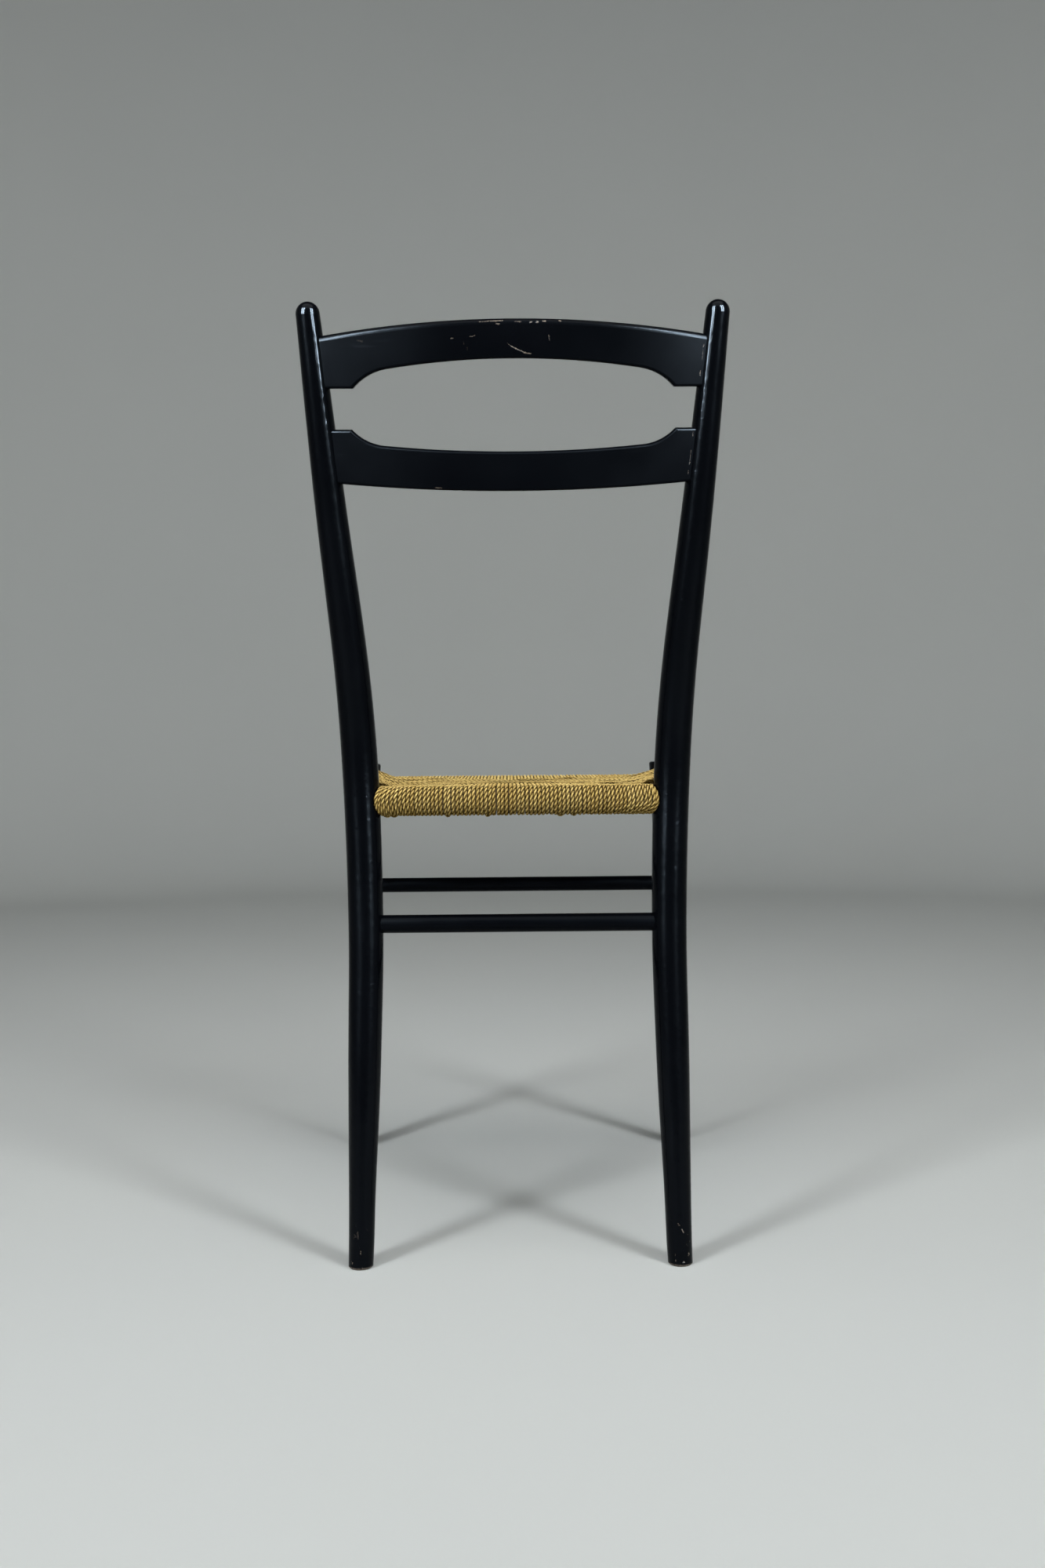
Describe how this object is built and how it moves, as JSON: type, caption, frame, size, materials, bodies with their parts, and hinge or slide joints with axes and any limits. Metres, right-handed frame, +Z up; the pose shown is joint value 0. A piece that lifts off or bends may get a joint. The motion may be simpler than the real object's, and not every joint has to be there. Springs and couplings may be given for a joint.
{
  "type": "cord seat chair",
  "caption": "Black lacquered wooden dining chair with round tapered legs, two bowed back rails round an eye-shaped gap, and a woven paper cord seat.",
  "frame": {"origin": "middle of the chair's bounding box, on the floor that its four feet stand on", "axes": "+Z up; -Y the way a sitter faces, so the back is at +Y; +X the sitter's left"},
  "size_m": [0.4102, 0.5102, 0.895],
  "materials": {
    "black_lacquer": "black satin-gloss lacquer on beech, rubbed brown in places on the edges",
    "bare_beech": "bare planed beech, hidden in the cord",
    "paper_cord": "twisted three-ply natural paper cord, wound close",
    "grey_board": "stiff grey packing board, hidden in the seat",
    "tack_steel": "blued steel tacks, hidden in the seat"
  },
  "bodies": {
    "root": {"cord_tacks": "tack_steel", "crest_rail": "black_lacquer", "front_leg_left": "black_lacquer", "front_leg_right": "black_lacquer", "front_stretcher": "black_lacquer", "lower_back_rail": "black_lacquer", "packing_card_back": "grey_board", "packing_card_front": "grey_board", "packing_card_left": "grey_board", "packing_card_right": "grey_board", "rear_post_left": "black_lacquer", "rear_post_right": "black_lacquer", "rear_stretcher": "black_lacquer", "seat_cord_back": "paper_cord", "seat_cord_front": "paper_cord", "seat_cord_left": "paper_cord", "seat_cord_right": "paper_cord", "seat_rail_back": "bare_beech", "seat_rail_front": "bare_beech", "seat_rail_left": "bare_beech", "seat_rail_right": "bare_beech", "side_stretcher_lower_left": "black_lacquer", "side_stretcher_lower_right": "black_lacquer", "side_stretcher_upper_left": "black_lacquer", "side_stretcher_upper_right": "black_lacquer"}
  },
  "joints": []
}
